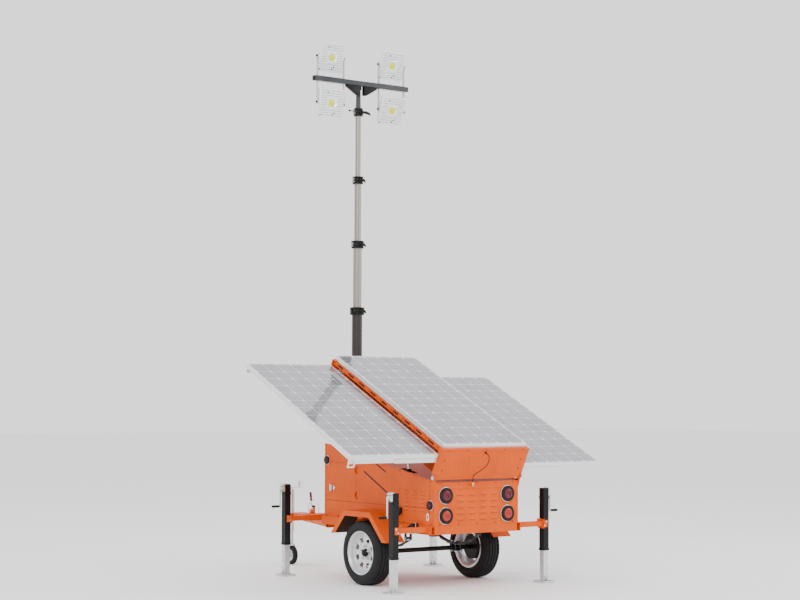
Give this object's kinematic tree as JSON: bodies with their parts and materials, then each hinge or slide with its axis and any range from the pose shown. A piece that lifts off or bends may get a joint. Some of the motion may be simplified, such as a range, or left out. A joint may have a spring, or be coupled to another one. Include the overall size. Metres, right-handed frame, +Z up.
{
  "type": "solar light tower trailer",
  "caption": "Single-axle towable light tower: cabinet, tilting array with slide-out solar modules, telescopic mast with floodlights, outrigger jacks.",
  "frame": {"origin": "middle of the footprint's bounding box, on the ground", "axes": "+X to the right seen from behind, +Y forward to the tow coupling, +Z up the mast"},
  "size_m": [3.042, 3.485, 5.4268],
  "materials": {
    "orange_paint": "satin",
    "black_paint": "satin",
    "galvanised": "satin",
    "spring_steel": "matte",
    "tyre": "matte",
    "rubber": "matte",
    "rim_silver": "satin",
    "mast_anodised": "satin",
    "mast_dark": "satin",
    "bar_paint": "satin",
    "lamp_white": "satin",
    "rail_aluminium": "satin",
    "solar_glass": "gloss",
    "lens_red": "gloss",
    "lens_amber": "gloss",
    "black_plastic": "matte",
    "battery_case": "satin"
  },
  "bodies": {
    "chassis": {"chassis_frame": "orange_paint", "drawbar": "orange_paint", "coupler": "black_paint", "jockey_tube": "galvanised", "axle_beam": "black_paint", "leaf_springs": "spring_steel", "fenders": "orange_paint", "wheel_chocks": "rubber", "cabinet_shell": "orange_paint", "lamp_housings": "black_plastic", "red_lamp_lenses": "lens_red", "amber_lamp_lenses": "lens_amber", "battery_bank": "battery_case", "mast_tube_1": "mast_dark", "tray_cable": "black_plastic"},
    "wheel_left": {"tyre_left": "tyre", "rim_left": "rim_silver"},
    "wheel_right": {"tyre_right": "tyre", "rim_right": "rim_silver"},
    "handbrake": {"handbrake_lever": "galvanised"},
    "jockey_leg": {"jockey_leg": "galvanised"},
    "jockey_wheel": {"jockey_wheel": "rubber"},
    "jockey_crank": {"jockey_crank": "galvanised"},
    "door": {"cabinet_door": "orange_paint"},
    "latch": {"door_latch": "galvanised"},
    "tray": {"solar_tray": "orange_paint", "panel_frame_centre": "rail_aluminium", "solar_laminate_centre": "solar_glass"},
    "slides_left": {"slide_rails_left": "rail_aluminium"},
    "slides_right": {"slide_rails_right": "rail_aluminium"},
    "panel_left": {"panel_frame_left": "rail_aluminium", "solar_laminate_left": "solar_glass"},
    "panel_right": {"panel_frame_right": "rail_aluminium", "solar_laminate_right": "solar_glass"},
    "struts": {"strut_cylinders": "black_paint"},
    "strut_rods": {"strut_rods": "galvanised"},
    "mast_2": {"mast_tube_2": "mast_anodised"},
    "mast_3": {"mast_tube_3": "mast_anodised"},
    "mast_4": {"mast_tube_4": "mast_anodised"},
    "mast_head": {"light_bar": "bar_paint"},
    "outrigger_rl": {"outrigger_arm_rl": "orange_paint", "jack_tube_rl": "black_paint"},
    "leg_rl": {"jack_leg_rl": "galvanised"},
    "crank_rl": {"jack_crank_rl": "galvanised"},
    "outrigger_rr": {"outrigger_arm_rr": "orange_paint", "jack_tube_rr": "black_paint"},
    "leg_rr": {"jack_leg_rr": "galvanised"},
    "crank_rr": {"jack_crank_rr": "galvanised"},
    "outrigger_fl": {"outrigger_arm_fl": "orange_paint", "jack_tube_fl": "black_paint"},
    "leg_fl": {"jack_leg_fl": "galvanised"},
    "crank_fl": {"jack_crank_fl": "galvanised"},
    "outrigger_fr": {"outrigger_arm_fr": "orange_paint", "jack_tube_fr": "black_paint"},
    "leg_fr": {"jack_leg_fr": "galvanised"},
    "crank_fr": {"jack_crank_fr": "galvanised"},
    "lamp_ul": {"floodlight_ul": "lamp_white"},
    "lamp_ur": {"floodlight_ur": "lamp_white"},
    "lamp_ll": {"floodlight_ll": "lamp_white"},
    "lamp_lr": {"floodlight_lr": "lamp_white"}
  },
  "joints": [
    {"name": "wheel_left_spin", "type": "hinge", "parent": "chassis", "child": "wheel_left", "pos_m": [-0.6525, -0.72894, 0.307], "axis": [1, 0, 0], "continuous": true},
    {"name": "wheel_right_spin", "type": "hinge", "parent": "chassis", "child": "wheel_right", "pos_m": [0.6525, -0.72894, 0.307], "axis": [1, 0, 0], "continuous": true},
    {"name": "handbrake_pull", "type": "hinge", "parent": "chassis", "child": "handbrake", "pos_m": [0, 1.21105, 0.575], "axis": [1, 0, 0], "range_deg": [-60, 5]},
    {"name": "jockey_leg_slide", "type": "slide", "parent": "chassis", "child": "jockey_leg", "axis": [0, 0, 1], "range_m": [-0.05, 0.14]},
    {"name": "jockey_wheel_spin", "type": "hinge", "parent": "jockey_leg", "child": "jockey_wheel", "pos_m": [-0.125, 1.42105, 0.1], "axis": [1, 0, 0], "continuous": true},
    {"name": "jockey_crank_turn", "type": "hinge", "parent": "chassis", "child": "jockey_crank", "pos_m": [-0.125, 1.42105, 0.8], "axis": [0, 0, 1], "continuous": true},
    {"name": "outrigger_slide_rl", "type": "slide", "parent": "chassis", "child": "outrigger_rl", "axis": [-1, 0, 0], "range_m": [-0.259, 0.146]},
    {"name": "jack_leg_slide_rl", "type": "slide", "parent": "outrigger_rl", "child": "leg_rl", "axis": [0, 0, 1], "range_m": [-0.12, 0.29]},
    {"name": "jack_crank_turn_rl", "type": "hinge", "parent": "outrigger_rl", "child": "crank_rl", "pos_m": [-0.9465, -1.49894, 0.872], "axis": [-1, 0, 0], "continuous": true},
    {"name": "outrigger_slide_rr", "type": "slide", "parent": "chassis", "child": "outrigger_rr", "axis": [1, 0, 0], "range_m": [-0.245, 0.16]},
    {"name": "jack_leg_slide_rr", "type": "slide", "parent": "outrigger_rr", "child": "leg_rr", "axis": [0, 0, 1], "range_m": [-0.12, 0.29]},
    {"name": "jack_crank_turn_rr", "type": "hinge", "parent": "outrigger_rr", "child": "crank_rr", "pos_m": [0.9325, -1.49894, 0.872], "axis": [1, 0, 0], "continuous": true},
    {"name": "outrigger_slide_fl", "type": "slide", "parent": "chassis", "child": "outrigger_fl", "axis": [-1, 0, 0], "range_m": [-0.178, 0.227]},
    {"name": "jack_leg_slide_fl", "type": "slide", "parent": "outrigger_fl", "child": "leg_fl", "axis": [0, 0, 1], "range_m": [-0.12, 0.29]},
    {"name": "jack_crank_turn_fl", "type": "hinge", "parent": "outrigger_fl", "child": "crank_fl", "pos_m": [-0.8655, 0.43106, 0.872], "axis": [-1, 0, 0], "continuous": true},
    {"name": "outrigger_slide_fr", "type": "slide", "parent": "chassis", "child": "outrigger_fr", "axis": [1, 0, 0], "range_m": [-0.373, 0.032]},
    {"name": "jack_leg_slide_fr", "type": "slide", "parent": "outrigger_fr", "child": "leg_fr", "axis": [0, 0, 1], "range_m": [-0.12, 0.29]},
    {"name": "jack_crank_turn_fr", "type": "hinge", "parent": "outrigger_fr", "child": "crank_fr", "pos_m": [1.0605, 0.43106, 0.872], "axis": [1, 0, 0], "continuous": true},
    {"name": "door_swing", "type": "hinge", "parent": "chassis", "child": "door", "pos_m": [-0.514, -0.31095, 0.951], "axis": [0, 0, 1], "range_deg": [0, 110]},
    {"name": "latch_turn", "type": "hinge", "parent": "door", "child": "latch", "pos_m": [-0.506, 0.10106, 0.885], "axis": [1, 0, 0], "range_deg": [0, 90]},
    {"name": "tray_tilt", "type": "hinge", "parent": "chassis", "child": "tray", "pos_m": [0, -1.57895, 1.045], "axis": [1, 0, 0], "range_deg": [-10, 19.4], "deforming": ["tray_cable"]},
    {"name": "strut_swing", "type": "hinge", "parent": "chassis", "child": "struts", "pos_m": [0, -1.07107, 0.68938], "axis": [1, 0, 0], "range_deg": [-5, 9.7]},
    {"name": "strut_extend", "type": "slide", "parent": "struts", "child": "strut_rods", "axis": [0, 0.0819, 0.9966], "range_m": [-0.0935, 0.1815]},
    {"name": "left_rails_slide", "type": "slide", "parent": "tray", "child": "slides_left", "axis": [1, 0, 0], "range_m": [0, 0.5125]},
    {"name": "left_panel_slide", "type": "slide", "parent": "slides_left", "child": "panel_left", "axis": [1, 0, 0], "range_m": [0, 0.5125]},
    {"name": "right_rails_slide", "type": "slide", "parent": "tray", "child": "slides_right", "axis": [1, 0, 0], "range_m": [-0.5125, 0]},
    {"name": "right_panel_slide", "type": "slide", "parent": "slides_right", "child": "panel_right", "axis": [1, 0, 0], "range_m": [-0.5125, 0]},
    {"name": "mast_extend", "type": "slide", "parent": "chassis", "child": "mast_2", "axis": [0, 0, 1], "range_m": [-0.58, 0.8]},
    {"name": "mast_3_extend", "type": "slide", "parent": "mast_2", "child": "mast_3", "axis": [0, 0, 1], "range_m": [-0.58, 0.8]},
    {"name": "mast_4_extend", "type": "slide", "parent": "mast_3", "child": "mast_4", "axis": [0, 0, 1], "range_m": [-0.58, 0.8]},
    {"name": "mast_head_turn", "type": "hinge", "parent": "mast_4", "child": "mast_head", "pos_m": [0, 0.39855, 4.71], "axis": [0, 0, 1], "range_deg": [-170, 170]},
    {"name": "lamp_tilt_ul", "type": "hinge", "parent": "mast_head", "child": "lamp_ul", "pos_m": [-0.385, 0.34856, 5.273], "axis": [1, 0, 0], "range_deg": [-76, 44]},
    {"name": "lamp_tilt_ur", "type": "hinge", "parent": "mast_head", "child": "lamp_ur", "pos_m": [0.385, 0.34856, 5.273], "axis": [1, 0, 0], "range_deg": [-80, 40]},
    {"name": "lamp_tilt_ll", "type": "hinge", "parent": "mast_head", "child": "lamp_ll", "pos_m": [-0.385, 0.34856, 4.798], "axis": [1, 0, 0], "range_deg": [-68, 52]},
    {"name": "lamp_tilt_lr", "type": "hinge", "parent": "mast_head", "child": "lamp_lr", "pos_m": [0.385, 0.34856, 4.798], "axis": [1, 0, 0], "range_deg": [-80, 40]}
  ],
  "couplings": [
    {"joint": "strut_swing", "follows": "tray_tilt", "ratio": 0.5},
    {"joint": "strut_extend", "follows": "tray_tilt", "m_per_rad": 0.53531},
    {"joint": "left_panel_slide", "follows": "left_rails_slide", "ratio": 1},
    {"joint": "right_panel_slide", "follows": "right_rails_slide", "ratio": 1},
    {"joint": "mast_3_extend", "follows": "mast_extend", "ratio": 1},
    {"joint": "mast_4_extend", "follows": "mast_extend", "ratio": 1}
  ]
}
